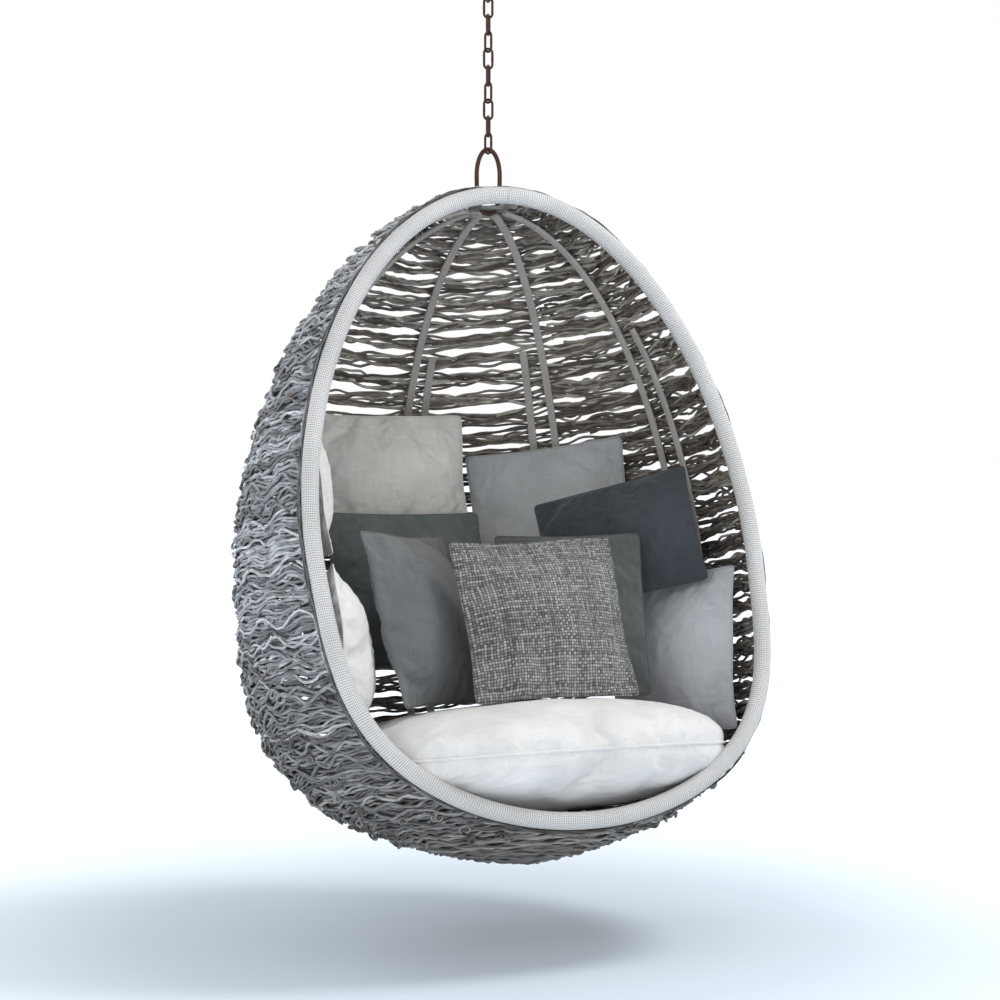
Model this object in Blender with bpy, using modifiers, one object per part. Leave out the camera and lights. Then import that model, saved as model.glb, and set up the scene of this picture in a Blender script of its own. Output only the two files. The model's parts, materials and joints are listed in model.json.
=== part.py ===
"""Hanging egg chair: a woven egg-shaped basket on a steel frame, hung by a link chain from a ball-bearing
swivel under a ceiling plate, with a round seat cushion and ten scatter cushions.

Metres, +Z up. The origin is the centre of the ceiling plate's flat top face, everything hangs below it, and
the chair's open front faces -Y. The basket is modelled in its own frame, whose origin is the point where the
hanging ring carries it: the "basket" empty stands there and leans the basket back.
"""
import math

import bmesh
import bpy
from mathutils import Euler, Vector

CLEARANCE = 0.0003          # between pieces that touch

# Ceiling fitting
PLATE_RADIUS, PLATE_THICKNESS = 0.050, 0.006
CUP_RADIUS, CUP_DEPTH, CAVITY_RADIUS = 0.020, 0.036, 0.015
CAVITY_TOP = -0.008
SCREW_CIRCLE, SCREW_RADIUS, SCREW_LENGTH, SCREW_COUNT = 0.037, 0.0025, 0.040, 4
RACE_THICKNESS, CAGE_THICKNESS = 0.002, 0.004
NUT_ACROSS_CORNERS, NUT_HEIGHT = 0.0196, 0.010
EYE_SHANK_RADIUS, EYE_SHANK_TOP = 0.005, -0.010
EYE_RADIUS, EYE_WIRE, EYE_BOTTOM = 0.013, 0.0035, -0.075

# Chain: welded links of 5 mm wire, each turned on by the same twist
LINK_COUNT, LINK_WIRE = 9, 0.0025
LINK_BEND, LINK_STRAIGHT = 0.0085, 0.0225
LINK_LAP = 0.0060           # from wire centre to wire centre where two links cross
LINK_TWIST = math.radians(60)
LAST_LINK_YAW = math.radians(108)

# Hanging ring, egg-shaped, of 9 mm wire: half its width, and its height above and below its widest place
RING_WIRE, RING_HALF_WIDTH, RING_UPPER, RING_LOWER, RING_FOOT_POWER = 0.0045, 0.0255, 0.051, 0.076, 2.7
RING_LAP = 0.0078

# Egg, as the outer face of the weave
EGG_HEIGHT, EGG_RADIUS, WIDEST_AT = 1.30, 0.510, 0.575
UPPER_CURVE, LOWER_CURVE = (1.85, 0.495), (3.6, 0.65)
EGG_LEAN, EGG_TUCK = 0.104, 0.065      # the centre line runs back below the crown and forward at the foot
EGG_TOP = 0.0263                        # above the point where the ring carries the basket
BASKET_TILT = math.radians(-10)
OPENING_TOP, OPENING_SLOPE, OPENING_BOW = 0.076, 0.119, 0.043

# Rim, ribs and weave
HOOP_RADIUS, WRAP_RADIUS, WRAP_WALL, WRAP_JOINT = 0.012, 0.017, 0.0045, 0.004
CROWN_PLATE_RADIUS, CROWN_PLATE_THICKNESS, CROWN_PLATE_FOOT = 0.040, 0.006, 0.0068
RING_SLOT_IN, RING_SLOT_OUT, RING_SLOT_WIDTH = 0.0065, 0.0265, 0.017
BASE_PLATE_RADIUS, BASE_PLATE_THICKNESS, BASE_PLATE_HEIGHT = 0.050, 0.005, 0.023
RIB_WIDTH, RIB_THICKNESS, RIB_INSET = 0.016, 0.006, 0.016
MAIN_RIBS = (-77.5, -44.5, 0, 44.5, 77.5)
SIDE_RIBS = (-85, -38, 5.5, 38, 85)
FRONT_RIBS = (-130, 130, 180)
WEAVE_STAND_OFF, WEAVE_THICKNESS, WEAVE_GAP = 0.003, 0.012, 0.008
COURSE_COUNT, DISH_RADIUS = 7, 0.235
RIM_TO_WEAVE, RIM_TO_RIB = 0.021, 0.023

# Seat and scatter cushions: width, height, thickness; centre in the basket's frame; lean back, turn and roll
SEAT_SIZE, SEAT_PLACE, SEAT_CORNER = (0.77, 0.57, 0.22), (0.0, 0.02, -1.08), 2.7
CUSHIONS = {
    "cushion_sand": ((0.36, 0.26, 0.1), (-0.105, 0.330, -0.475), 2, 4, 0, (0.5, 0.48, 0.46)),
    "cushion_mid_blue": ((0.34, 0.34, 0.11), (0.262, 0.333, -0.582), 3, -34, -2, (0.4, 0.43, 0.46)),
    "cushion_charcoal": ((0.33, 0.24, 0.11), (0.285, 0.088, -0.652), 6, -44, -8, (0.22, 0.24, 0.26)),
    "cushion_cream": ((0.3, 0.26, 0.09), (-0.390, 0.100, -0.550), 2, 80, 0, (0.72, 0.69, 0.64)),
    "cushion_moss": ((0.36, 0.32, 0.1), (-0.115, 0.240, -0.720), 8, 4, 0, (0.27, 0.29, 0.28)),
    "cushion_slate": ((0.33, 0.35, 0.13), (-0.180, 0.053, -0.800), 12, 35, -2, (0.33, 0.36, 0.38)),
    "cushion_white": ((0.29, 0.32, 0.14), (-0.376, 0.026, -0.864), 2, 69, 0, (0.74, 0.73, 0.7)),
    "cushion_tweed": ((0.34, 0.33, 0.11), (0.012, -0.078, -0.820), 15, -4, 0, (0.42, 0.41, 0.4)),
    "cushion_olive": ((0.3, 0.33, 0.09), (0.132, 0.025, -0.805), 6, -12, 2, (0.28, 0.3, 0.29)),
    "cushion_pale_blue": ((0.33, 0.33, 0.12), (0.386, 0.085, -0.885), 5, -71, 1, (0.55, 0.58, 0.61)),
}

STEEL_BROWN, STEEL_ZINC, STEEL_GREY = (0.05, 0.03, 0.025), (0.55, 0.55, 0.55), (0.28, 0.27, 0.26)
RIB_GREY, WICKER, CORD = (0.30, 0.29, 0.27), (0.38, 0.37, 0.36), (0.66, 0.66, 0.66)


# ---------------------------------------------------------------- scene and materials

def clear_scene():
    for old in list(bpy.data.objects):
        bpy.data.objects.remove(old, do_unlink=True)


def new_collection(name):
    made = bpy.data.collections.new(name)
    bpy.context.scene.collection.children.link(made)
    return made


def material(name, colour, roughness, metallic=0.0):
    made = bpy.data.materials.new(name)
    made.use_nodes = True
    shader = made.node_tree.nodes["Principled BSDF"]
    shader.inputs["Base Color"].default_value = (*colour, 1)
    shader.inputs["Roughness"].default_value = roughness
    shader.inputs["Metallic"].default_value = metallic
    return made


def place(name, data, mat, location=(0, 0, 0), rotation=(0, 0, 0), parent=None):
    """A new object in the chair's collection, with its material, placed in its parent's frame."""
    made = bpy.data.objects.new(name, data)
    CHAIR.objects.link(made)
    made.location, made.rotation_euler, made.parent = location, rotation, parent
    data.materials.append(mat)
    return made


def smooth(obj, angle=35):
    obj.data.shade_smooth()
    obj.data.set_sharp_from_angle(angle=math.radians(angle))


# ---------------------------------------------------------------- shapes

def turned(name, profile, mat, steps=24, closed=False, **where):
    """A profile of (radius, height) points turned about Z. It runs down its outer side."""
    mesh = bpy.data.meshes.new(name)
    shape = bmesh.new()
    points = [shape.verts.new((radius, 0, height)) for radius, height in profile]
    for first, second in zip(points, points[1:] + points[:1] * closed):
        shape.edges.new((first, second))
    shape.to_mesh(mesh)
    shape.free()
    made = place(name, mesh, mat, **where)
    screw = made.modifiers.new("turn", "SCREW")
    screw.steps = screw.render_steps = steps
    screw.use_merge_vertices, screw.merge_threshold = True, 1e-5
    return made


def washer(name, inner, outer, low, high, mat, **where):
    ring = [(inner, high), (outer, high), (outer, low), (inner, low)]
    return turned(name, ring, mat, closed=True, **where)


def wire(name, points, radius, mat, cyclic=True, sides=2, **where):
    """A round wire or tube along points."""
    curve = bpy.data.curves.new(name, "CURVE")
    curve.dimensions, curve.bevel_depth, curve.bevel_resolution = "3D", radius, sides
    curve.use_fill_caps = not cyclic
    line = curve.splines.new("POLY")
    line.points.add(len(points) - 1)
    for point, at in zip(line.points, points):
        point.co = (*at, 1)
    line.use_cyclic_u = cyclic
    return place(name, curve, mat, **where)


def as_mesh(obj):
    """The evaluated mesh of a curve, in a new object that takes the curve's name and place."""
    graph = bpy.context.evaluated_depsgraph_get()
    mesh = bpy.data.meshes.new_from_object(obj.evaluated_get(graph))
    shape = bmesh.new()
    shape.from_mesh(mesh)
    bmesh.ops.remove_doubles(shape, verts=shape.verts, dist=1e-6)
    shape.to_mesh(mesh)
    shape.free()
    name, mat, parent, at = obj.name, obj.data.materials[0], obj.parent, obj.matrix_basis.copy()
    bpy.data.objects.remove(obj)
    made = place(name, mesh, mat, parent=parent)
    made.matrix_basis = at
    return made


def cut(obj, cutter, operation="DIFFERENCE"):
    CHAIR.objects.unlink(cutter)
    CUTTERS.objects.link(cutter)
    cutter.hide_render, cutter.display_type = True, "WIRE"
    change = obj.modifiers.new(operation.lower(), "BOOLEAN")
    change.operation, change.object = operation, cutter


def rounded_slot(centre_x, half_x, half_y, corners=3):
    """A rounded rectangle with full-radius ends of the shorter side."""
    bend = min(half_x, half_y) * 0.9
    points = []
    for quarter in range(4):
        x = centre_x + (half_x - bend) * (1, -1, -1, 1)[quarter]
        y = (half_y - bend) * (1, 1, -1, -1)[quarter]
        for step in range(corners + 1):
            angle = math.pi / 2 * (quarter + step / corners)
            points.append((x + bend * math.cos(angle), y + bend * math.sin(angle)))
    return points


def circle(radius, count):
    turns = [math.tau * k / count for k in range(count)]
    return [(radius * math.cos(a), radius * math.sin(a)) for a in turns]


def plate(name, outlines, thickness, mat, **where):
    """A flat plate: the first outline is its edge and the others are holes."""
    curve = bpy.data.curves.new(name, "CURVE")
    curve.dimensions, curve.fill_mode, curve.extrude = "2D", "BOTH", thickness / 2
    for outline in outlines:
        line = curve.splines.new("POLY")
        line.points.add(len(outline) - 1)
        for point, (x, y) in zip(line.points, outline):
            point.co = (x, y, 0, 1)
        line.use_cyclic_u = True
    return place(name, curve, mat, **where)


def stadium(bend, straight, count=6):
    """The centre line of a chain link, upright in X and Z, about its middle."""
    points = []
    for end in (1, -1):
        for step in range(count + 1):
            angle = math.pi * step / count + (0 if end > 0 else math.pi)
            points.append((bend * math.cos(angle), 0, end * straight / 2 + bend * math.sin(angle)))
    return points


# ---------------------------------------------------------------- the egg

def egg_radius(depth):
    share = min(max(depth / EGG_HEIGHT, 0), 1)
    if share < WIDEST_AT:
        power, root = UPPER_CURVE
        along = 1 - share / WIDEST_AT
    else:
        power, root = LOWER_CURVE
        along = (share - WIDEST_AT) / (1 - WIDEST_AT)
    return EGG_RADIUS * max(1 - along**power, 0) ** root


def centre_y(depth):
    """How far back the egg's centre line is at this depth below its top."""
    share = depth / EGG_HEIGHT
    return EGG_LEAN * (1 - (1 - share) ** 2) - EGG_TUCK * share**3


def opening_y(depth):
    """Where the opening's plane is at this depth: it leans forward and is slightly dished."""
    share = depth / EGG_HEIGHT
    return -(OPENING_TOP + OPENING_SLOPE * depth - OPENING_BOW * 4 * share * (1 - share))


def egg_profile(count=600):
    """(length along the profile, depth, radius) from the top to the foot."""
    depths = [EGG_HEIGHT * (1 - math.cos(math.pi * k / count)) / 2 for k in range(count + 1)]
    rows, length = [(0.0, 0.0, 0.0)], 0.0
    for depth in depths[1:]:
        length += math.hypot(depth - rows[-1][1], egg_radius(depth) - rows[-1][2])
        rows.append((length, depth, egg_radius(depth)))
    return rows


PROFILE = egg_profile()
PROFILE_LENGTH = PROFILE[-1][0]


def on_profile(length):
    """(depth, radius, outward slope) at a length along the profile from the top."""
    spot = next(k for k, row in enumerate(PROFILE) if row[0] >= length or k == len(PROFILE) - 1)
    low, high = PROFILE[max(spot - 1, 0)], PROFILE[max(spot, 1)]
    share = (length - low[0]) / (high[0] - low[0])
    depth, radius = (low[k] + share * (high[k] - low[k]) for k in (1, 2))
    step = Vector((high[2] - low[2], high[1] - low[1])).normalized()
    return depth, radius, (step.y, step.x)


def length_at_radius(radius, lower=False):
    """The length along the profile where it has this radius, above or below the widest place."""
    rows = [row for row in PROFILE if (row[1] > WIDEST_AT * EGG_HEIGHT) == lower]
    return min(rows, key=lambda row: abs(row[2] - radius))[0]


def egg_point(length, azimuth, offset=0.0):
    """A point of the basket's frame: azimuth turns from the back (+Y) to the right, offset is outward."""
    depth, radius, (out, up) = on_profile(length)
    reach = radius + out * offset
    return Vector((reach * math.sin(azimuth), centre_y(depth) + reach * math.cos(azimuth),
                   EGG_TOP - depth + up * offset))


def widest_azimuth(length, margin):
    """How far round from the back the weave goes at this length before it meets the opening."""
    depth, radius, _ = on_profile(length)
    ahead = (opening_y(depth) + margin - centre_y(depth)) / max(radius, 1e-6)
    return math.acos(min(max(ahead, -1), 1))


def rim_line(count):
    """The rim's centre line: where the opening's plane cuts the egg, as evenly spaced points."""
    half = []
    for _, depth, radius in egg_profile(2000):
        reach = opening_y(depth) - centre_y(depth)
        if radius > abs(reach):
            half.append(Vector((math.sqrt(radius**2 - reach**2), opening_y(depth), EGG_TOP - depth)))
    loop = half + [Vector((-p.x, p.y, p.z)) for p in reversed(half)]
    return evenly(loop, count)


def evenly(loop, count):
    """Points at equal distances round a closed line, from its first point."""
    ends = list(zip(loop, loop[1:] + loop[:1]))
    lengths = [(b - a).length for a, b in ends]
    total, spaced, done, k = sum(lengths), [], 0.0, 0
    for step in range(count):
        wanted = total * step / count
        while done + lengths[k] < wanted:
            done += lengths[k]
            k += 1
        a, b = ends[k]
        spaced.append(a.lerp(b, (wanted - done) / max(lengths[k], 1e-9)))
    return spaced


def patch(name, across, along, where, thickness, mat):
    """An open grid laid on the egg by where(u, v), u from -1 to 1 and v from 0 to 1, thickened inward."""
    mesh = bpy.data.meshes.new(name)
    shape = bmesh.new()
    bmesh.ops.create_grid(shape, x_segments=across, y_segments=along, size=1)
    for vert in shape.verts:
        vert.co = where(vert.co.x, (1 - vert.co.y) / 2)
    shape.normal_update()
    middle = max(shape.faces, key=lambda face: face.calc_area())
    centre = Vector((0, 0.03, -0.6))
    if middle.normal.dot(middle.calc_center_median() - centre) < 0:
        bmesh.ops.reverse_faces(shape, faces=shape.faces)
    shape.to_mesh(mesh)
    shape.free()
    made = place(name, mesh, mat, parent=BASKET)
    shell = made.modifiers.new("thickness", "SOLIDIFY")
    shell.thickness, shell.offset, shell.use_even_offset = thickness, -1, True
    return made


# ---------------------------------------------------------------- sub-parts

def ceiling_fitting():
    zinc = material("zinc_steel", STEEL_ZINC, 0.35, 0.9)
    brown = material("brown_steel", STEEL_BROWN, 0.45, 0.7)
    body = turned("ceiling_plate", [
        (0, 0), (PLATE_RADIUS, 0), (PLATE_RADIUS, -PLATE_THICKNESS), (CUP_RADIUS, -PLATE_THICKNESS),
        (CUP_RADIUS, -CUP_DEPTH), (CAVITY_RADIUS, -CUP_DEPTH), (CAVITY_RADIUS, CAVITY_TOP), (0, CAVITY_TOP),
    ], brown, steps=32)
    for k in range(SCREW_COUNT):
        angle = math.tau * (k + 0.5) / SCREW_COUNT
        spot = (SCREW_CIRCLE * math.cos(angle), SCREW_CIRCLE * math.sin(angle), 0)
        hole = SCREW_RADIUS + CLEARANCE
        drill = turned(f"drill_{k + 1}", [(0, 0.01), (hole, 0.01), (hole, -0.02), (0, -0.02)],
                       zinc, steps=12, location=spot)
        cut(body, drill)
        head = -PLATE_THICKNESS - CLEARANCE
        turned(f"plate_screw_{k + 1}", [
            (0, SCREW_LENGTH), (SCREW_RADIUS, SCREW_LENGTH - 0.006), (SCREW_RADIUS, head),
            (2 * SCREW_RADIUS, head), (1.6 * SCREW_RADIUS, head - 0.0028), (0, head - 0.0034),
        ], zinc, steps=12, location=spot)
    cap_top = -CUP_DEPTH - CLEARANCE
    spigot = CAVITY_RADIUS - CLEARANCE
    bore = EYE_SHANK_RADIUS + 0.0008
    turned("bearing_cap", [
        (bore, cap_top + 0.0035), (spigot, cap_top + 0.0035), (spigot, cap_top),
        (CUP_RADIUS, cap_top), (CUP_RADIUS, cap_top - 0.003), (bore, cap_top - 0.003),
    ], brown, closed=True)
    level = cap_top + 0.0035
    for name, inner, outer, height in (
        ("lower_race", bore, 0.014, RACE_THICKNESS),
        ("ball_cage", 0.007, 0.013, CAGE_THICKNESS),
        ("upper_race", bore, 0.014, RACE_THICKNESS),
    ):
        level += CLEARANCE
        washer(name, inner, outer, level, level + height, zinc)
        level += height
    nut_middle = level + CLEARANCE + NUT_HEIGHT / 2
    thread = circle(EYE_SHANK_RADIUS + CLEARANCE, 24)
    plate("swivel_nut", [circle(NUT_ACROSS_CORNERS / 2, 6), thread], NUT_HEIGHT, zinc,
          location=(0, 0, nut_middle))


def eye_bolt():
    """The bolt that turns in the bearing, with the eye that the chain hangs in."""
    steel = material("eye_steel", STEEL_BROWN, 0.45, 0.7)
    middle = EYE_BOTTOM + EYE_RADIUS
    across = LAST_LINK_YAW - LINK_TWIST * (LINK_COUNT - 1) + math.pi / 2
    ring = [(EYE_RADIUS * math.cos(a), 0, EYE_RADIUS * math.sin(a))
            for a in (math.tau * k / 20 for k in range(20))]
    shank_foot = middle + EYE_RADIUS - 0.001
    shank = turned("eye_bolt", [
        (0, EYE_SHANK_TOP), (EYE_SHANK_RADIUS, EYE_SHANK_TOP),
        (EYE_SHANK_RADIUS, shank_foot), (0, shank_foot),
    ], steel, steps=16)
    eye = as_mesh(wire("eye", ring, EYE_WIRE, steel, location=(0, 0, middle), rotation=(0, 0, across)))
    cut(shank, eye, "UNION")


def chain():
    steel = material("chain_steel", STEEL_BROWN, 0.5, 0.8)
    half = LINK_STRAIGHT / 2 + LINK_BEND
    top = EYE_BOTTOM + EYE_WIRE + LINK_WIRE + 0.0005
    pitch = 2 * half - LINK_LAP
    for k in range(LINK_COUNT):
        yaw = LAST_LINK_YAW - LINK_TWIST * (LINK_COUNT - 1 - k)
        hold = Vector((0, 0, top - pitch * k))
        line = [(x, y, z - half) for x, y, z in stadium(LINK_BEND, LINK_STRAIGHT)]
        wire(f"chain_link_{k + 1:02d}", line, LINK_WIRE, steel, sides=1, location=hold, rotation=(0, 0, yaw))
    last_wire = top - pitch * (LINK_COUNT - 1) - 2 * half
    return last_wire + RING_LAP - RING_UPPER - RING_LOWER


def hanging_ring():
    """An egg-shaped ring in X and Z, whose foot is the origin of the basket's frame."""
    steel = material("ring_steel", STEEL_BROWN, 0.5, 0.8)
    points = []
    for k in range(32):
        across, up = math.cos(math.tau * k / 32), math.sin(math.tau * k / 32)
        if up < 0:
            across = math.copysign(abs(across) ** (2 / RING_FOOT_POWER), across)
            up = -abs(up) ** (2 / RING_FOOT_POWER)
        height = RING_LOWER + up * (RING_UPPER if up > 0 else RING_LOWER)
        points.append((RING_HALF_WIDTH * across, 0, height))
    wire("hanging_ring", points, RING_WIRE, steel, location=(0, 0, HANG_Z))


def frame():
    """The steel frame: crown plate, hoop round the opening, ribs and base plate."""
    steel = material("frame_steel", STEEL_GREY, 0.5, 0.6)
    rib_grey = material("rib_strip", RIB_GREY, 0.7)
    slot_middle = (RING_SLOT_IN + RING_SLOT_OUT) / 2
    slot_half = (RING_SLOT_OUT - RING_SLOT_IN) / 2
    slots = [rounded_slot(side * slot_middle, slot_half, RING_SLOT_WIDTH / 2) for side in (-1, 1)]
    plate("crown_plate", [circle(CROWN_PLATE_RADIUS, 32), *slots], CROWN_PLATE_THICKNESS, steel,
          location=(0, 0, CROWN_PLATE_FOOT + CROWN_PLATE_THICKNESS / 2),
          rotation=(-BASKET_TILT, 0, 0), parent=BASKET)
    plate("base_plate", [circle(BASE_PLATE_RADIUS, 24)], BASE_PLATE_THICKNESS, steel,
          location=(0, centre_y(EGG_HEIGHT), EGG_TOP - EGG_HEIGHT + BASE_PLATE_HEIGHT), parent=BASKET)
    hoop = rim_line(48)
    wire("rim_hoop", hoop, HOOP_RADIUS, steel, parent=BASKET)
    start = CROWN_PLATE_RADIUS + 0.004
    foot = length_at_radius(BASE_PLATE_RADIUS + 0.012, lower=True)
    for group, upper, lower in ((MAIN_RIBS, start, foot),
                                (SIDE_RIBS, 0.36, length_at_radius(0.22, lower=True))):
        for azimuth in group:
            rib(f"rib_{azimuth_name(azimuth)}", azimuth, length_at_radius(upper), lower, rib_grey)
    for azimuth in FRONT_RIBS:
        turn = math.radians(azimuth)
        lengths = [foot - 0.002 * k for k in range(400)]
        clear = [s for s in lengths if widest_azimuth(s, RIM_TO_RIB) >= abs(turn) - 1e-9]
        rib(f"rib_{azimuth_name(azimuth)}", azimuth, min(clear), foot, rib_grey, along=5)


def azimuth_name(azimuth):
    side = "left" if azimuth < 0 else "right"
    return f"{side}_{abs(azimuth):05.1f}".replace(".", "_")


def rib(name, azimuth, upper, lower, mat, along=20):
    turn = math.radians(azimuth)
    sideways = Vector((math.cos(turn), -math.sin(turn), 0)) * RIB_WIDTH / 2

    def where(u, v):
        return egg_point(upper + v * (lower - upper), turn, -RIB_INSET) + sideways * u
    patch(name, 1, along, where, RIB_THICKNESS, mat)


def rim_wrap():
    """The cord wound round the hoop, as a sleeve with a narrow joint at the top."""
    cord = material("rim_cord", CORD, 0.85)
    line = rim_line(48)
    first, second = line[0], line[1]
    start = first + (second - first).normalized() * WRAP_JOINT / 2
    end = first + (line[-1] - first).normalized() * WRAP_JOINT / 2
    tube = wire("rim_wrap", [start, *line[1:], end], WRAP_RADIUS, cord, cyclic=False, parent=BASKET)
    tube.data.use_fill_caps = False
    sleeve = as_mesh(tube)
    wall = sleeve.modifiers.new("wall", "SOLIDIFY")
    wall.thickness, wall.offset = WRAP_WALL, -1


def weave():
    """Bands of the woven shell, with a see-through gap between them, and the dish under the seat."""
    wicker = material("wicker", WICKER, 0.8)
    top = length_at_radius(CROWN_PLATE_RADIUS + 0.010)
    dish = length_at_radius(DISH_RADIUS, lower=True)
    height = (dish - top) / COURSE_COUNT
    for k in range(COURSE_COUNT):
        low, high = top + height * k, top + height * (k + 1) - WEAVE_GAP

        def where(u, v, low=low, high=high):
            length = low + v * (high - low)
            return egg_point(length, u * widest_azimuth(length, RIM_TO_WEAVE), WEAVE_STAND_OFF)
        patch(f"weave_band_{k + 1}", 22, 4, where, WEAVE_THICKNESS, wicker)
    steps, depth_of_edge = 8, on_profile(dish)[0]
    lengths = [dish + (PROFILE_LENGTH - dish) * k / steps for k in range(steps + 1)]
    outline = []
    for offset, order in ((WEAVE_STAND_OFF - WEAVE_THICKNESS, lengths[::-1]), (WEAVE_STAND_OFF, lengths)):
        for length in order:
            depth, radius, (out, up) = on_profile(length)
            reach = radius + out * offset if length < PROFILE_LENGTH else 0
            outline.append((reach, EGG_TOP - depth + up * offset))
    turned("weave_dish", outline, wicker, steps=28, location=(0, centre_y(depth_of_edge), 0), parent=BASKET)


def cushion(name, size, centre, lean, turn, roll, mat, corner=6):
    """A crowned cushion. Its face looks along -Y before it leans back, turns about Z and rolls."""
    width, height, thickness = size
    mesh = bpy.data.meshes.new(name)
    shape = bmesh.new()
    bmesh.ops.create_uvsphere(shape, u_segments=20, v_segments=10, radius=1)
    for vert in shape.verts:
        angle = math.atan2(vert.co.y, vert.co.x)
        from_middle = min(math.hypot(vert.co.x, vert.co.y), 1)
        reach = (abs(math.cos(angle)) ** corner + abs(math.sin(angle)) ** corner) ** (-1 / corner)
        bulge = math.copysign((1 - from_middle**2.4) ** 0.6, vert.co.z) if from_middle < 1 else 0
        vert.co = (from_middle * reach * math.cos(angle) * width / 2, -bulge * thickness / 2,
                   from_middle * reach * math.sin(angle) * height / 2)
    shape.to_mesh(mesh)
    shape.free()
    turns = (Euler((0, 0, math.radians(turn))).to_matrix() @ Euler((math.radians(-lean), 0, 0)).to_matrix()
             @ Euler((0, math.radians(roll), 0)).to_matrix())
    made = place(name, mesh, mat, location=centre, rotation=turns.to_euler(), parent=BASKET)
    smooth(made, 60)
    return made


def cushions():
    seat = material("seat_fabric", (0.62, 0.63, 0.64), 0.9)
    cushion("seat_cushion", SEAT_SIZE, SEAT_PLACE, 90, 0, 0, seat, corner=SEAT_CORNER)
    for name, (size, centre, lean, turn, roll, colour) in CUSHIONS.items():
        cushion(name, size, centre, lean, turn, roll, material(name, colour, 0.9))


clear_scene()
CHAIR, CUTTERS = new_collection("hanging_egg_chair"), new_collection("cutters")
ceiling_fitting()
eye_bolt()
HANG_Z = chain()
hanging_ring()
BASKET = bpy.data.objects.new("basket", None)
CHAIR.objects.link(BASKET)
BASKET.location, BASKET.rotation_euler = (0, 0, HANG_Z), (BASKET_TILT, 0, 0)
frame()
rim_wrap()
weave()
cushions()
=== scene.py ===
"""Looks of the hanging egg chair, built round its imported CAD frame.

Metres, in the CAD model's frame, called the world here: the origin is the ceiling plate's top face, +Z is up
and the open front faces -Y. The basket's own frame stands at the hinge "basket_rock" and leans back. The
shell, the rim and the ribs are laid on the same egg as the CAD bands.
"""
import json
import math

import bmesh
import bpy
import numpy as np
from mathutils import Euler, Matrix, Vector


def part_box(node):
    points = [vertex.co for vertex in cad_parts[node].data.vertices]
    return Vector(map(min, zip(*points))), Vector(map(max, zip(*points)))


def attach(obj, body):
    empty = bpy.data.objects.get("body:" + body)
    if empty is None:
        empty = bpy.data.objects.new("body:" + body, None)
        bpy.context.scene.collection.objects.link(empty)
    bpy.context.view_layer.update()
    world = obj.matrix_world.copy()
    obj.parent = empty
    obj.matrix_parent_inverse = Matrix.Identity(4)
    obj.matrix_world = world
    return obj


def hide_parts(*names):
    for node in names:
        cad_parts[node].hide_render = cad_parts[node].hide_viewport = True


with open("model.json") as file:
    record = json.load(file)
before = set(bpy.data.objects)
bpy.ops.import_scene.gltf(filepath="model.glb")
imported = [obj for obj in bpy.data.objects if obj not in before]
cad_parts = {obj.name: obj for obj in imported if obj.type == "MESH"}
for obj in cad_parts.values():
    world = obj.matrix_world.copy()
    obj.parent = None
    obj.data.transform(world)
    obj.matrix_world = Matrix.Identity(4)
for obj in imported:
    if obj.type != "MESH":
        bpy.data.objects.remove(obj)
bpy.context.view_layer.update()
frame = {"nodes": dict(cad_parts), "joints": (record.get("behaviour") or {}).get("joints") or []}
JOINTS = {joint["name"]: joint for joint in frame["joints"]}

# Egg, as the outer face of the weave, in the basket's frame
EGG_HEIGHT, EGG_RADIUS, WIDEST_AT = 1.30, 0.510, 0.575
UPPER_CURVE, LOWER_CURVE = (1.85, 0.495), (3.6, 0.65)
EGG_LEAN, EGG_TUCK, EGG_TOP = 0.104, 0.065, 0.0263
OPENING_TOP, OPENING_SLOPE, OPENING_BOW = 0.076, 0.119, 0.043
BASKET_TILT = math.radians(-10)
BASKET = Matrix.Translation(JOINTS["basket_rock"]["pos_m"]) @ Matrix.Rotation(BASKET_TILT, 4, "X")
BASKET_TURN = np.array(BASKET.to_3x3())
DISH_RADIUS, BAND_COUNT = 0.235, 7

# Weave
COURSE_PITCH, STRAND, STEP = 0.043, 0.0031, 0.011
RIB_AZIMUTHS = np.radians([-180, -130, -81, -41, 3, 41, 81, 130, 180])
STRAND_END = 0.008          # behind the opening's plane, inside the cord of the rim
DENSE_FROM, CURLS = math.radians(58), 4
FLANKS = {-1: (9, 1.0), 1: (6, 0.66)}     # by side: strands in a course, and how much of its pitch they cover
# Layers of a course: strands, jitter of ranks, wander as (amplitude, wavelength), offset and bulge, ripple
LAYERS = (
    (6, 0.2, ((0.0020, 0.41), (0.0016, 0.19), (0.0010, 0.075)),
     (-0.0045, 0), ((0.0022, 0.13), (0.0016, 0.061))),
    (4, 0.25, ((0.0022, 0.33), (0.0018, 0.12), (0.0012, 0.062)),
     (0.0028, 0.003), ((0.0022, 0.11), (0.0016, 0.052))),
)

# Rim
WRAP_RADIUS, WRAP_DEPTH = 0.0168, 0.0007
WINDINGS, WINDING_RINGS, WRAP_SIDES, STITCHES = 760, 4, 24, 30
# Strands beside the cord: how far out and behind the hoop's centre, radius, tint
BORDER = ((0.0185, 0.0035, 0.0019, 0.02), (0.0180, 0.0095, 0.0023, 0.50), (0.0150, 0.0155, 0.0022, 0.10),
          (0.0205, 0.0075, 0.0017, 0.0))

# Ribs, as on the CAD frame: azimuths from the back in degrees
MAIN_RIBS, SIDE_RIBS, FRONT_RIBS = (-77.5, -44.5, 0, 44.5, 77.5), (-85, -38, 5.5, 38, 85), (-130, 130, 180)
RIB_WIDTH, RIB_THICKNESS, RIB_INSET = 0.016, 0.006, 0.016
CROWN_PLATE_RADIUS, BASE_PLATE_RADIUS = 0.040, 0.050

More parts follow.
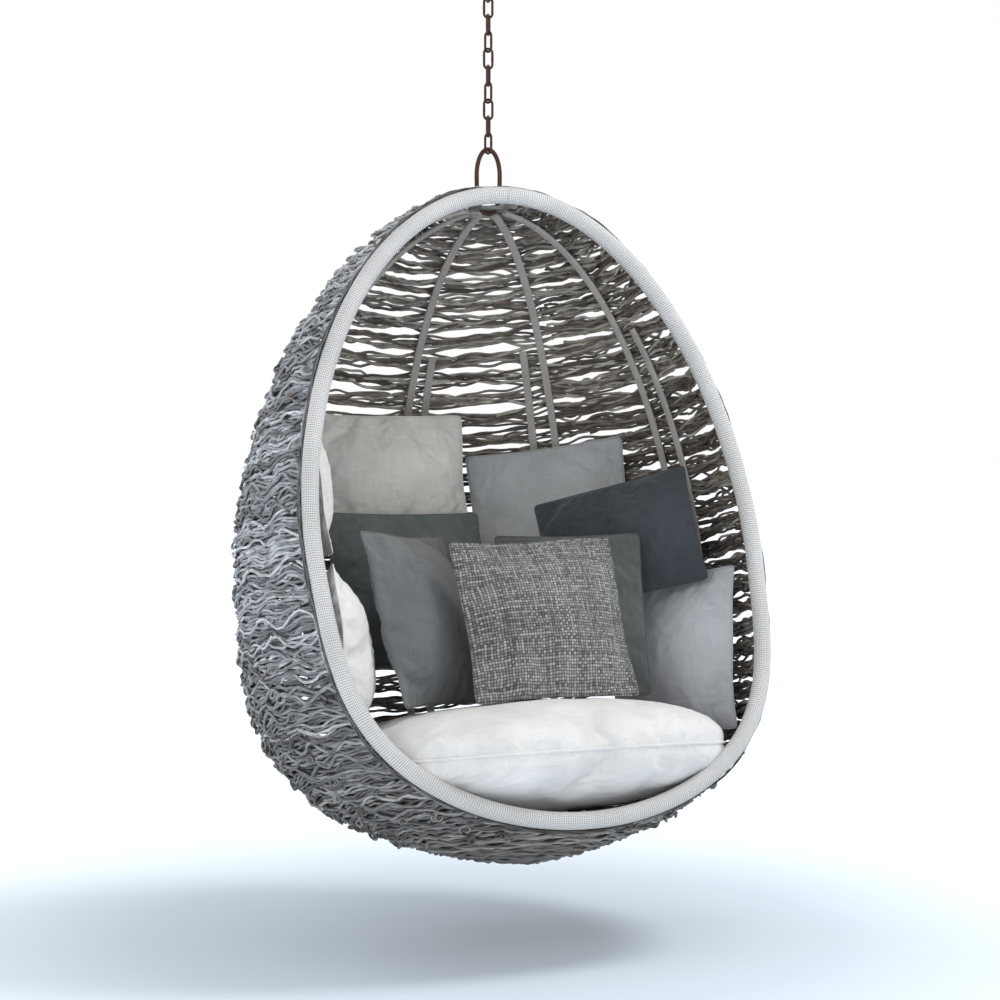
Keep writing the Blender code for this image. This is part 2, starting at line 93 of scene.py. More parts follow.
# Chain and ring
LINK_COUNT, LINK_WIRE, LINK_BEND, LINK_STRAIGHT, LINK_LAP = 9, 0.0025, 0.0085, 0.0225, 0.006
LINK_TWIST, LAST_LINK_YAW = math.radians(60), math.radians(108)
EYE_RADIUS, EYE_WIRE, EYE_BOTTOM, EYE_SHANK_RADIUS = 0.013, 0.0035, -0.075, 0.005
EYE_THREADS, EYE_PITCH, SCREW_THREADS, SCREW_PITCH = 10, 0.0016, 16, 0.0018
RING_WIRE, RING_HALF_WIDTH, RING_UPPER, RING_LOWER, RING_FOOT_POWER = 0.0045, 0.0255, 0.051, 0.076, 2.7

# Cushions: width, height, thickness; centre in the basket's frame; lean back, turn and roll in degrees
SEAT_SIZE, SEAT_PLACE, SEAT_CORNER = (0.77, 0.57, 0.22), (0.0, 0.02, -1.08), 2.7
SWAY = 0.004                # how far a pillow's seam wavers out of its plane
DOME = (0.62, 0.71)         # powers of sine and cosine that make the seat's fat section
CLOTH_FRAMES, CLOTH_STIFFNESS, CLOTH_BENDING = 24, 18, 0.25
CUSHIONS = {
    "cushion_sand": ((0.36, 0.26, 0.10), (-0.105, 0.330, -0.475), (2, 4, 0)),
    "cushion_mid_blue": ((0.34, 0.34, 0.11), (0.262, 0.333, -0.582), (3, -34, -2)),
    "cushion_charcoal": ((0.33, 0.24, 0.11), (0.285, 0.088, -0.652), (6, -44, -8)),
    "cushion_cream": ((0.30, 0.26, 0.09), (-0.390, 0.100, -0.550), (2, 80, 0)),
    "cushion_moss": ((0.36, 0.32, 0.10), (-0.115, 0.240, -0.720), (8, 4, 0)),
    "cushion_slate": ((0.33, 0.35, 0.13), (-0.180, 0.053, -0.800), (12, 35, -2)),
    "cushion_white": ((0.29, 0.32, 0.14), (-0.376, 0.026, -0.864), (2, 69, 0)),
    "cushion_tweed": ((0.34, 0.33, 0.11), (0.012, -0.078, -0.820), (15, -4, 0)),
    "cushion_olive": ((0.30, 0.33, 0.09), (0.132, 0.025, -0.805), (6, -12, 2)),
    "cushion_pale_blue": ((0.33, 0.33, 0.12), (0.386, 0.085, -0.885), (5, -71, 1)),
}
CUSHION_COLOURS = {
    "cushion_sand": (0.70, 0.68, 0.645), "cushion_mid_blue": (0.46, 0.48, 0.495),
    "cushion_charcoal": (0.048, 0.056, 0.066), "cushion_cream": (0.74, 0.725, 0.70),
    "cushion_moss": (0.120, 0.136, 0.137), "cushion_slate": (0.129, 0.139, 0.145),
    "cushion_white": (0.76, 0.75, 0.73), "cushion_olive": (0.088, 0.096, 0.096),
    "cushion_pale_blue": (0.49, 0.51, 0.54),
}

# Stage, lights and camera: each light has a place, an aim, a size, a power and a colour
FLOOR_Z = -1.93
# The floor's darker colour close to the chair is a painted shadow; further out it has pale tones.
FLOOR_PAINTED_SHADOW, FLOOR_FAR = (0.62, 0.71, 0.80), ((0.76, 0.855, 0.96), (0.78, 0.87, 0.97))
SKY_FALL = (0.16, 0.8, 1.0, 0.62)      # heights between which the white sky dims, and its strengths there
LIGHTS = (
    ("key", (2.3, -0.9, 2.2), (0, 0, -1.1), 1.5, 84, (1.0, 0.985, 0.96)),
    ("fill", (-3.2, -3.0, 0.4), (0, 0, -1.1), 2.6, 36, (1.0, 0.995, 0.985)),
    ("rim_light", (-1.6, 3.4, 1.8), (0, 0, -1.1), 2.0, 24, (0.95, 0.97, 1.0)),
)
CAMERA_PLACE, CAMERA_TURN, CAMERA_RISE = (-2.2295, -4.5105, -0.9229), math.radians(-26.28), math.radians(1.79)
LENS, SHIFT = 90.74, (0.0128, 0.0074)


# ---------------------------------------------------------------- the egg

def unit(vectors):
    return vectors / np.maximum(np.linalg.norm(vectors, axis=1, keepdims=True), 1e-9)


def egg_radius(depth):
    share = np.clip(np.asarray(depth, float) / EGG_HEIGHT, 0, 1)
    above = np.clip(1 - share / WIDEST_AT, 0, 1)
    below = np.clip((share - WIDEST_AT) / (1 - WIDEST_AT), 0, 1)
    upper = np.maximum(1 - above ** UPPER_CURVE[0], 0) ** UPPER_CURVE[1]
    lower = np.maximum(1 - below ** LOWER_CURVE[0], 0) ** LOWER_CURVE[1]
    return EGG_RADIUS * np.where(share < WIDEST_AT, upper, lower)


def centre_y(depth):
    share = np.asarray(depth, float) / EGG_HEIGHT
    return EGG_LEAN * (1 - (1 - share) ** 2) - EGG_TUCK * share**3


def opening_y(depth):
    share = np.asarray(depth, float) / EGG_HEIGHT
    return -(OPENING_TOP + OPENING_SLOPE * depth - OPENING_BOW * 4 * share * (1 - share))


DEPTHS = EGG_HEIGHT * (1 - np.cos(np.pi * np.arange(2001) / 2000)) / 2
RADII = egg_radius(DEPTHS)
LENGTHS = np.concatenate([[0], np.cumsum(np.hypot(np.diff(DEPTHS), np.diff(RADII)))])
SLOPE_OUT = np.gradient(DEPTHS, LENGTHS)
SLOPE_UP = np.gradient(RADII, LENGTHS)


def radius_at(length):
    return np.interp(length, LENGTHS, RADII)


def to_world(points):
    return np.asarray(points) @ BASKET_TURN.T + np.array(BASKET.translation)


def on_egg(length, azimuth, offset=0.0):
    """World points at lengths along the profile, azimuths from the back and offsets outward."""
    depth, radius = np.interp(length, LENGTHS, DEPTHS), radius_at(length)
    out, up = np.interp(length, LENGTHS, SLOPE_OUT), np.interp(length, LENGTHS, SLOPE_UP)
    reach = radius + out * offset
    points = np.stack([reach * np.sin(azimuth), centre_y(depth) + reach * np.cos(azimuth),
                       EGG_TOP - depth + up * offset], axis=-1)
    return to_world(points)


def outward(length, azimuth):
    """Unit vectors out of the egg, in the world."""
    out, up = np.interp(length, LENGTHS, SLOPE_OUT), np.interp(length, LENGTHS, SLOPE_UP)
    flat = np.stack([out * np.sin(azimuth), out * np.cos(azimuth), up * np.ones_like(azimuth)], axis=-1)
    return flat @ BASKET_TURN.T


def widest_azimuth(length, margin):
    """The azimuth at which the profile meets a plane that far behind the opening."""
    depth, radius = np.interp(length, LENGTHS, DEPTHS), radius_at(length)
    ahead = (opening_y(depth) + margin - centre_y(depth)) / np.maximum(radius, 1e-6)
    return np.arccos(np.clip(ahead, -1, 1))


def length_at_radius(radius, lower=False):
    rows = (DEPTHS > WIDEST_AT * EGG_HEIGHT) == lower
    return LENGTHS[rows][np.argmin(np.abs(RADII[rows] - radius))]


def rim_line(count):
    """The centre line of the hoop in the world, as evenly spaced points, and its length."""
    depths = EGG_HEIGHT * (1 - np.cos(np.pi * np.arange(4001) / 4000)) / 2
    reach, radius = opening_y(depths) - centre_y(depths), egg_radius(depths)
    kept = radius > np.abs(reach)
    half = np.stack([np.sqrt(radius[kept] ** 2 - reach[kept] ** 2), opening_y(depths)[kept],
                     EGG_TOP - depths[kept]], axis=-1)
    loop = np.concatenate([half, half[::-1] * [-1, 1, 1]])
    closed = np.concatenate([loop, loop[:1]])
    gone = np.concatenate([[0], np.cumsum(np.linalg.norm(np.diff(closed, axis=0), axis=1))])
    wanted = gone[-1] * np.arange(count) / count
    return to_world(np.stack([np.interp(wanted, gone, closed[:, k]) for k in range(3)], axis=-1)), gone[-1]


RIM, RIM_LENGTH = rim_line(600)
FRONT = np.array(BASKET.to_3x3() @ Vector((0, -1, 0)))
WINDINGS_PER_METRE = WINDINGS / RIM_LENGTH


def clear_of_rim(line):
    """Points that would break through the cord of the rim, moved out and back to lie beside it."""
    gap = line[:, None] - RIM[None]
    far = np.linalg.norm(gap, axis=2)
    rows, nearest = np.arange(len(line)), far.argmin(axis=1)
    away, reach, beside = gap[rows, nearest], far[rows, nearest], WRAP_RADIUS + STRAND + 0.0008
    ahead = away @ FRONT
    away = away - np.maximum(ahead + 0.35 * beside, 0)[:, None] * FRONT
    away *= beside / np.maximum(np.linalg.norm(away, axis=1, keepdims=True), 1e-6)
    moved = (reach < beside) & ((reach > 0.011) | (ahead > 0))
    return np.where(moved[:, None], RIM[nearest] + away, line)


# ---------------------------------------------------------------- meshes

def add_object(name, mesh, body, mat, replaces=()):
    made = bpy.data.objects.new(name, mesh)
    bpy.context.scene.collection.objects.link(made)
    if mat:
        mesh.materials.append(mat)
    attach(made, body)
    if replaces:
        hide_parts(*replaces)
    return made


def mesh_of(name, points, faces):
    mesh = bpy.data.meshes.new(name)
    mesh.from_pydata(points, [], faces)
    mesh.polygons.foreach_set("use_smooth", [True] * len(mesh.polygons))
    mesh.update()
    return mesh


def outward_faces(mesh):
    shape = bmesh.new()
    shape.from_mesh(mesh)
    bmesh.ops.recalc_face_normals(shape, faces=shape.faces)
    shape.to_mesh(mesh)
    shape.free()


def rings_round(line, radius, turn, up, side):
    """Rings of points round a line, at turns from up towards side."""
    return line[:, None] + radius * (np.cos(turn)[None, :, None] * up[:, None]
                                     + np.sin(turn)[None, :, None] * side[:, None])


def tube_quads(rows, sides, closed):
    """Faces between rings of points, the last ring joined to the first where closed."""
    row, side = np.arange(rows if closed else rows - 1)[:, None], np.arange(sides)[None]
    after, beside = (row + 1) % rows, (side + 1) % sides
    corners = (row * sides + side, after * sides + side, after * sides + beside, row * sides + beside)
    return np.stack(corners, axis=-1).reshape(-1, 4)


def strand_trait(mesh, values):
    """Gives each vertex (along, around or facing, tint), which the shaders of strands and cord read."""
    trait = mesh.attributes.new("strand", "FLOAT_VECTOR", "POINT")
    trait.data.foreach_set("vector", values.ravel())


class Tubes:
    """Gathers round strands into one mesh, each vertex with (along, facing, tint): facing is 1 outward."""

    def __init__(self, sides=6):
        self.sides, self.points, self.faces, self.traits, self.count = sides, [], [], [], 0

    def add(self, line, ups, radius, tint, closed=False):
        """A tube along line, whose ring starts on the side of ups."""
        line, count = np.asarray(line), len(line)
        ahead = unit(np.roll(line, -1, axis=0) - np.roll(line, 1, axis=0) if closed
                     else np.gradient(line, axis=0))
        side = unit(np.cross(ahead, ups))
        up = np.cross(side, ahead)
        turn = np.arange(self.sides) * math.tau / self.sides
        radius = np.broadcast_to(np.asarray(radius, float), (count,))[:, None, None]
        ring = rings_round(line, radius, turn, up, side)
        along = np.concatenate([[0], np.cumsum(np.linalg.norm(np.diff(line, axis=0), axis=1))])
        traits = np.stack([np.broadcast_to(along[:, None], (count, self.sides)),
                           np.broadcast_to(np.cos(turn)[None], (count, self.sides)),
                           np.full((count, self.sides), tint)], axis=-1)
        start, n = self.count, self.sides
        self.faces.append(tube_quads(count, n, closed) + start)
        self.points.append(ring.reshape(-1, 3))
        self.traits.append(traits.reshape(-1, 3))
        self.count += count * n
        if not closed:
            self.faces.append(np.arange(n)[None, :] + start)
            self.faces.append(np.arange(n)[None, ::-1] + start + (count - 1) * n)

    def mesh(self, name):
        points = np.concatenate(self.points)
        faces = [tuple(face) for block in self.faces for face in block.tolist()]
        mesh = mesh_of(name, points.tolist(), faces)
        strand_trait(mesh, np.concatenate(self.traits))
        return mesh


# ---------------------------------------------------------------- shaders

class Shader:
    """A Principled material whose colour, roughness and bump come from nodes built up by short calls."""

    def __init__(self, name, roughness=0.8, metallic=0.0, sheen=0.0, specular=0.5):
        self.mat = bpy.data.materials.new(name)
        self.mat.use_nodes = True
        self.tree = self.mat.node_tree
        self.out = self.tree.nodes["Principled BSDF"]
        for socket, value in (("Roughness", roughness), ("Metallic", metallic), ("Sheen Weight", sheen),
                              ("Sheen Roughness", 0.5), ("Specular IOR Level", specular)):
            self.out.inputs[socket].default_value = value

    def node(self, kind, links=(), **values):
        made = self.tree.nodes.new(kind)
        for key, value in values.items():
            setattr(made, key, value)
        for socket, source in links:
            self.put(source, made.inputs[socket])
        return made

    def put(self, source, socket):
        """Links the source to the socket, or sets it there as a value."""
        if isinstance(source, bpy.types.NodeSocket):
            self.tree.links.new(source, socket)
        else:
            socket.default_value = (*source, 1) if socket.type == "RGBA" else source

    def object_place(self):
        return self.node("ShaderNodeTexCoord").outputs["Object"]

    def strand(self):
        return self.parts(self.node("ShaderNodeAttribute", attribute_name="strand").outputs["Vector"])

    def parts(self, vector):
        return self.node("ShaderNodeSeparateXYZ", [("Vector", vector)]).outputs

    def join(self, x, y=0.0, z=0.0):
        return self.node("ShaderNodeCombineXYZ", [("X", x), ("Y", y), ("Z", z)]).outputs[0]

    def shaded(self, colour, share):
        return self.mix(1.0, colour, self.join(share, share, share), "MULTIPLY")

    def times(self, value, factor):
        return self.math("MULTIPLY", value, factor)

    def math(self, operation, first, second=0.0, third=0.0):
        made = self.node("ShaderNodeMath", [(0, first), (1, second), (2, third)], operation=operation)
        return made.outputs[0]

    def noise(self, vector, scale, detail=2.0, roughness=0.5):
        made = self.node("ShaderNodeTexNoise", [("Vector", vector), ("Scale", scale), ("Detail", detail),
                                                ("Roughness", roughness)])
        return made.outputs["Fac"]

    def wave(self, value, turns):
        """0 to 1, turns times for each unit of value."""
        swing = self.math("SINE", self.times(value, math.tau * turns))
        return self.math("MULTIPLY_ADD", swing, 0.5, 0.5)

    def ramp(self, value, stops):
        made = self.node("ShaderNodeValToRGB", [("Fac", value)])
        line = made.color_ramp.elements
        while len(line) < len(stops):
            line.new(0.5)
        for stop, (at, colour) in zip(line, stops):
            stop.position, stop.color = at, (*colour, 1)
        return made.outputs["Color"]

    def mix(self, share, first, second, blend="MIX"):
        made = self.node("ShaderNodeMix", data_type="RGBA", blend_type=blend)
        for at, value in ((0, share), (6, first), (7, second)):
            self.put(value, made.inputs[at])
        return made.outputs[2]

    def spread(self, value, low, high, to_low, to_high):
        made = self.node("ShaderNodeMapRange", [("Value", value), ("From Min", low), ("From Max", high),
                                                ("To Min", to_low), ("To Max", to_high)])
        return made.outputs[0]

    def colour(self, socket):
        self.put(socket, self.out.inputs["Base Color"])

    def roughness(self, socket):
        self.put(socket, self.out.inputs["Roughness"])

    def bump(self, *heights):
        """Heights in metres, added one after another."""
        below = []
        for height in heights:
            links = [("Height", height), ("Strength", 1.0), ("Distance", 1.0), *below]
            made = self.node("ShaderNodeBump", links)
            below = [("Normal", made.outputs["Normal"])]
        self.put(made.outputs["Normal"], self.out.inputs["Normal"])


def wicker():
    """Round strands: taupe towards the sitter, blue-grey on the outside, with a few rust pieces. The two
    tones by facing are partly the strands' own colours and partly painted shade inside and painted cool light
    outside.
    """
    s = Shader("wicker_strand", roughness=0.72, specular=0.35)
    along, facing, tint = s.strand()
    place = s.object_place()
    inner = s.ramp(tint, [(0.0, (0.085, 0.069, 0.057)), (0.45, (0.19, 0.163, 0.139)),
                          (0.8, (0.33, 0.297, 0.262)), (1.0, (0.49, 0.46, 0.415))])
    outer = s.ramp(tint, [(0.0, (0.15, 0.155, 0.165)), (0.35, (0.285, 0.300, 0.322)),
                          (0.7, (0.42, 0.44, 0.47)), (1.0, (0.58, 0.60, 0.63))])
    # Partly painted light: each strand's inward face takes the darker taupe ramp as painted shade, and its
    # outward face takes the lighter blue-grey ramp as painted cool light.
    base = s.mix(s.spread(facing, -0.25, 0.35, 0.0, 1.0), inner, outer)
    pieces = s.join(s.times(along, 24.0), s.times(tint, 400.0))
    rust = s.spread(s.noise(pieces, 1.0, 1), 0.72, 0.75, 0.0, 0.85)
    base = s.mix(rust, base, (0.21, 0.115, 0.070))
    patches = s.spread(s.noise(place, 38, 3), 0.3, 0.7, 0.66, 1.26)
    fibre = s.noise(s.join(s.times(along, 60.0), s.times(facing, 4.0), s.times(tint, 90.0)), 1.0, 3)
    shade = s.times(patches, s.spread(fibre, 0.3, 0.7, 0.72, 1.2))
    # Painted shade: the strands turn darker and warmer towards the foot of the shell.
    foot = s.mix(s.spread(s.parts(place)[2], -1.72, -1.30, 0.0, 1.0), (0.62, 0.57, 0.51), (1.0, 1.0, 1.0))
    s.colour(s.mix(1.0, s.shaded(base, shade), foot, "MULTIPLY"))
    s.roughness(s.spread(fibre, 0.2, 0.8, 0.6, 0.85))
    s.bump(s.times(fibre, 0.0009), s.times(s.noise(place, 260, 2), 0.0004))
    return s.mat


def rim_cord():
    """The knitted cord wound round the hoop: light grey turns with a ladder of stitches, darkened with
    painted shade where the bump sinks between them.
    """
    s = Shader("rim_cord_knit", roughness=0.88, sheen=0.15, specular=0.3)
    along, around, _ = s.strand()
    turn = s.math("ADD", s.times(along, WINDINGS_PER_METRE), s.times(around, 1 / math.tau))
    groove = s.wave(turn, 1)
    stitch = s.wave(around, STITCHES / math.tau)
    height = s.math("MULTIPLY_ADD", groove, 0.5, s.times(stitch, 0.5))
    # Painted shade: the colour follows the bump's height and is darkest in the grooves between turns and
    # stitches.
    knit_with_groove_shade = s.ramp(height, [(0.0, (0.24, 0.24, 0.245)), (0.32, (0.46, 0.46, 0.465)),
                           (0.62, (0.69, 0.69, 0.69)), (1.0, (0.80, 0.80, 0.795))])
    s.colour(s.shaded(knit_with_groove_shade, s.spread(s.noise(s.object_place(), 9, 4), 0.3, 0.75, 0.88, 1.04)))
    s.bump(s.times(height, 0.0007), s.times(s.noise(s.object_place(), 900, 2), 0.0002))
    return s.mat


def strip():
    """Flat synthetic strip of the ribs: grey-taupe, lightly grained along its length."""
    s = Shader("rib_strip_grey", roughness=0.6, specular=0.4)
    place = s.object_place()
    grain = s.noise(place, 120, 4, 0.6)
    blotch = s.noise(place, 14, 3)
    tone = s.mix(s.spread(blotch, 0.3, 0.7, 0.0, 1.0), (0.33, 0.305, 0.285), (0.43, 0.405, 0.375))
    s.colour(s.mix(s.spread(grain, 0.35, 0.7, 0.0, 0.35), tone, (0.52, 0.495, 0.465)))
    s.roughness(s.spread(grain, 0.2, 0.8, 0.5, 0.75))
    s.bump(s.times(grain, 0.0004))
    return s.mat


def steel(name, colour, worn, roughness=0.45, metallic=0.85, wear=0.3):
    """Coated or plated steel with brushed grain, and bare metal where the coat has rubbed off."""
    s = Shader(name, roughness=roughness, metallic=metallic)
    place = s.object_place()
    grain = s.noise(place, 420, 3, 0.65)
    blotch = s.noise(place, 95, 4, 0.6)
    share = s.spread(blotch, 0.56, 0.74, 0.0, wear)
    coat = s.mix(s.spread(grain, 0.3, 0.7, 0.0, 0.5), colour, tuple(0.6 * c for c in colour))
    s.colour(s.mix(share, coat, worn))
    s.roughness(s.spread(grain, 0.2, 0.8, roughness - 0.12, roughness + 0.15))
    s.bump(s.times(grain, 0.00012), s.times(blotch, 0.0003))
    return s.mat


def fabric(name, colour, thread=0.0011, slub=0.25, bump=0.00025):
    """Plain-woven cotton: crossing threads at a real pitch, thicker ones here and there, and a soft nap, with
    painted shade between the threads.
    """
    s = Shader(name, roughness=0.92, sheen=0.25, specular=0.2)
    x, _, z = s.parts(s.object_place())
    wobble = s.times(s.noise(s.object_place(), 30, 2), 0.004)
    warp = s.wave(s.math("ADD", x, wobble), 1 / thread)
    weft = s.wave(s.math("ADD", z, wobble), 1 / thread)
    weave = s.times(s.math("ADD", warp, weft), 0.5)
    across = s.node("ShaderNodeMapping", [("Vector", s.object_place()), ("Scale", (18, 18, 420))]).outputs[0]
    along = s.node("ShaderNodeMapping", [("Vector", s.object_place()), ("Scale", (420, 18, 18))]).outputs[0]
    slubs = s.math("MAXIMUM", s.noise(across, 1.0, 2), s.noise(along, 1.0, 2))
    cloud = s.noise(s.object_place(), 11, 3)
    low, high = tuple(0.80 * c for c in colour), tuple(min(1.18 * c, 0.95) for c in colour)
    tone = s.mix(s.spread(cloud, 0.3, 0.7, 0.25, 0.75), low, high)
    pale = tuple(min(1.4 * c + 0.02, 0.97) for c in colour)
    tone = s.mix(s.spread(slubs, 0.5, 0.75, 0.0, slub), tone, pale)
    # Painted shade between the threads: the colour darkens where the weave's height is low.
    s.colour(s.mix(s.spread(weave, 0.0, 0.5, 0.22, 0.0), tone, tuple(0.45 * c for c in colour)))
    s.bump(s.times(weave, bump), s.times(slubs, 0.0004))
    return s.mat


def tweed(name, cell=0.0056):
    """Coarse plain weave of charcoal, mid-grey and pale yarns, each yarn with a tone of its own, and painted
    shade in the gaps between yarns.
    """
    s = Shader(name, roughness=0.95, sheen=0.3, specular=0.15)
    place = s.object_place()
    wander = s.times(s.noise(place, 16, 2), 0.008)
    x, _, z = s.parts(place)
    across, up = (s.math("DIVIDE", s.math("ADD", axis, wander), cell) for axis in (x, z))
    column, row = s.math("FLOOR", across), s.math("FLOOR", up)
    over = s.math("ABSOLUTE", s.math("MODULO", s.math("ADD", column, row), 2.0))

    def random(x, y):
        return s.node("ShaderNodeTexWhiteNoise", [("Vector", s.join(x, y))]).outputs["Value"]
    warp, weft, own = random(column, 7.5), random(3.5, row), random(column, row)
    yarn = s.math("ADD", s.times(warp, over), s.times(weft, s.math("SUBTRACT", 1.0, over)))
    tone = s.math("ADD", s.times(yarn, 0.5), s.times(own, 0.5))
    yarn_rise_and_gap_shade = s.times(*(s.math("ABSOLUTE", s.math("SINE", s.times(axis, math.pi))) for axis in (across, up)))
    speck = s.noise(place, 900, 2, 0.7)
    tone = s.times(tone, s.spread(speck, 0.3, 0.7, 0.75, 1.25))
    base = s.ramp(tone, [(0.12, (0.11, 0.11, 0.116)), (0.38, (0.20, 0.20, 0.207)),
                         (0.6, (0.29, 0.287, 0.29)), (0.85, (0.42, 0.415, 0.41))])
    # Painted shade in the gaps between yarns, from the same rise that makes the bump.
    s.colour(s.shaded(base, s.spread(yarn_rise_and_gap_shade, 0.0, 0.6, 0.22, 1.0)))
    s.bump(s.times(yarn_rise_and_gap_shade, 0.0010), s.times(speck, 0.0005))
    return s.mat


# ---------------------------------------------------------------- woven shell

def swings(rng, x, parts):
    """A sum of sines along x: parts are (amplitude, wavelength), each with a phase of its own."""
    return sum(size * np.sin(math.tau * x / length + rng.uniform(0, math.tau)) for size, length in parts)


def strand_line(rng, length, start, end, rank, spread, wander, offset, ripple, shared=()):
    """One strand at a length along the profile, from azimuth to azimuth.

    rank is its place in its course, from -1 to 1. spread gives the course's half height at each azimuth.
    offset is how far out it lies, and how much further in its course's middle. shared moves all of a course.
    """
    radius = float(radius_at(length))
    count = max(7, int(abs(end - start) * radius / STEP))
    turn = np.linspace(start, end, count)
    x = turn * radius
    crossing = np.clip(rank + swings(rng, x, [(0.55, 0.33), (0.3, 0.15)]), -1.25, 1.25)
    at = length + crossing * spread(turn) + swings(rng, x, wander)
    at = at + sum(size * np.sin(math.tau * x / wave + phase) for size, wave, phase in shared)
    out = offset[0] + offset[1] * (1 - crossing**2) + swings(rng, x, ripple)
    return clear_of_rim(on_egg(at, turn, out)), outward(at, turn)


def near_rib(turn, reach=0.09):
    """1 at a rib, falling to 0 between two."""
    gap = np.abs(turn[:, None] - RIB_AZIMUTHS[None]).min(axis=1)
    return np.exp(-(gap / reach) ** 2)


def course(rng, tubes, length, reach, low):
    """One course of the weave right round the shell: an inner and an outer layer of crossing strands."""
    crown = math.exp(-((length - low) / 0.16) ** 2)
    loose = 1 + crown

    def spread(turn):
        return (0.0100 + 0.0075 * near_rib(turn)) * (1 + 0.5 * crown)

    for strands, jitter, wander, offset, ripple in LAYERS:
        for k in range(strands):
            rank = -1 + 2 * (k + rng.uniform(-jitter, jitter)) / (strands - 1)
            line, ups = strand_line(rng, length + rng.uniform(-0.002, 0.002), -reach, reach, rank, spread,
                                    [(loose * size, wave) for size, wave in wander], offset, ripple)
            tubes.add(line, ups, STRAND * rng.uniform(0.8, 1.12), rng.uniform(0.0, 1.0))


def flank(rng, tubes, length, reach, side, windows):
    """The dense outside of one flank: strands side by side in long waves, a few laid across the others.

    A strand at one of the windows, which are lengths along the profile, stops short of the rim.
    """
    if reach < DENSE_FROM + 0.1:
        return
    radius = float(radius_at(length))
    shared = [(0.0050, rng.uniform(0.14, 0.20), rng.uniform(0, math.tau)),
              (0.0026, rng.uniform(0.075, 0.100), rng.uniform(0, math.tau))]
    strands, cover = FLANKS[side]
    for k in range(strands):
        rank = 2 * k / (strands - 1) - 1
        at, across = length + rank * 0.5 * cover * COURSE_PITCH, rng.random() < 0.14
        start, end = DENSE_FROM - rng.uniform(0.0, 0.30), reach
        if windows.size and np.abs(windows - at).min() < 0.0095:
            end = reach - rng.uniform(0.042, 0.052) / radius
        line, ups = strand_line(
            rng, at, side * start, side * end, rank, lambda turn: 0.0012,
            [(0.0075 if across else 0.0016, rng.uniform(0.08, 0.13)), (0.0010, rng.uniform(0.035, 0.05))],
            (0.0095 if across else 0.0035, 0.0060), [(0.0020, 0.08), (0.0014, 0.037)], shared)
        tubes.add(line, ups, STRAND * rng.uniform(0.86, 1.12), rng.uniform(0.0, 1.0))


def curls(rng, tubes, length, reach, side):
    """Loose loops of strand that stand out of the shell."""
    for _ in range(CURLS):
        turn = side * rng.uniform(min(0.75, reach * 0.6), reach - 0.14)
        size = rng.uniform(0.0055, 0.0085)
        spin = np.linspace(0, math.tau * rng.uniform(1.1, 1.7), 22) + rng.uniform(0, math.tau)
        radius = float(radius_at(length))
        at = length + size * np.sin(spin) + rng.uniform(-0.008, 0.008)
        around = turn + (size * np.cos(spin) + np.linspace(-0.006, 0.006, 22)) / max(radius, 0.05)
        out = 0.0105 + size * 0.6 * (1 + np.sin(spin + 0.9))
        line = clear_of_rim(on_egg(at, around, out))
        tubes.add(line, outward(at, around), STRAND * 0.72, rng.uniform(0.0, 0.8))


def dish(rng, tubes, low, high):
    """Rings of strand round the foot of the shell."""
    rings = int((high - low) / 0.0095)
    for k in range(rings):
        length = low + (high - low) * (k + 0.5) / rings
        radius = float(radius_at(length))
        around = max(1, round(math.tau * radius / 0.11))
        wave = math.tau * radius / around
        for offset in (-0.004, 0.003, 0.0075):
            turn = rng.uniform(-math.pi, math.pi)
            line, ups = strand_line(
                rng, length, turn, turn + math.tau * 1.02, 0.0, lambda turn: 0.0,
                [(min(0.004, 0.25 * radius), wave), (min(0.002, 0.1 * radius), wave / 2)],
                (offset, 0), [(0.002, wave), (0.0015, wave / 2)])
            tubes.add(line, ups, STRAND * rng.uniform(0.85, 1.1), rng.uniform(0.0, 1.0))


def shell():
    mat = wicker()
    top, foot = length_at_radius(CROWN_PLATE_RADIUS + 0.010), length_at_radius(DISH_RADIUS, lower=True)
    band = (foot - top) / BAND_COUNT
    count = int((foot - top) / COURSE_PITCH)
    lengths = top + (foot - top) * (np.arange(count) + 0.5) / count
    windows = [top + (foot - top) * np.arange(first, count, 4) / count for first in (11, 13)]
    for number in range(BAND_COUNT):
        rng, tubes = np.random.default_rng(100 + number), Tubes()
        for length in lengths[(lengths >= top + band * number) & (lengths < top + band * (number + 1))]:
            reach = float(widest_azimuth(length, STRAND_END))
            course(rng, tubes, length, reach, top)
            for side, open_at in zip((-1, 1), windows):
                flank(rng, tubes, length, reach, side, open_at)
                curls(rng, tubes, length, reach, side)
        name = f"weave_band_{number + 1}"
        add_object(f"{name}_strands", tubes.mesh(name), "basket", mat, [name])
    rng, tubes = np.random.default_rng(200), Tubes()
    dish(rng, tubes, foot, LENGTHS[-1] - 0.004)
    add_object("weave_dish_strands", tubes.mesh("weave_dish"), "basket", mat, ["weave_dish"])


# ---------------------------------------------------------------- rim and ribs

def rim():
    rows = WINDINGS * WINDING_RINGS
    line, total = rim_line(rows)
    ahead = unit(np.roll(line, -1, axis=0) - np.roll(line, 1, axis=0))
    away = unit(np.cross(ahead, FRONT))
    if np.dot(away[0], line[0] - line.mean(axis=0)) < 0:
        away = -away
    level = np.cross(ahead, away)
    around = np.arange(WRAP_SIDES) * math.tau / WRAP_SIDES
    phase = np.arange(rows)[:, None] / WINDING_RINGS + around[None] / math.tau
    radius = WRAP_RADIUS - WRAP_DEPTH * (0.5 - 0.5 * np.sin(math.tau * phase))
    ring = rings_round(line, radius[..., None], around, away, level)
    mesh = mesh_of("rim_wrap_cord", ring.reshape(-1, 3).tolist(), tube_quads(rows, WRAP_SIDES, True).tolist())
    outward_faces(mesh)
    along = np.broadcast_to((np.arange(rows) * total / rows)[:, None], (rows, WRAP_SIDES))
    turn = np.broadcast_to(around[None], (rows, WRAP_SIDES))
    strand_trait(mesh, np.stack([along, turn, 0 * turn], axis=-1))
    add_object("rim_wrap_cord", mesh, "basket", rim_cord(), ["rim_wrap"])
    border(line[::3], away[::3], level[::3], total)


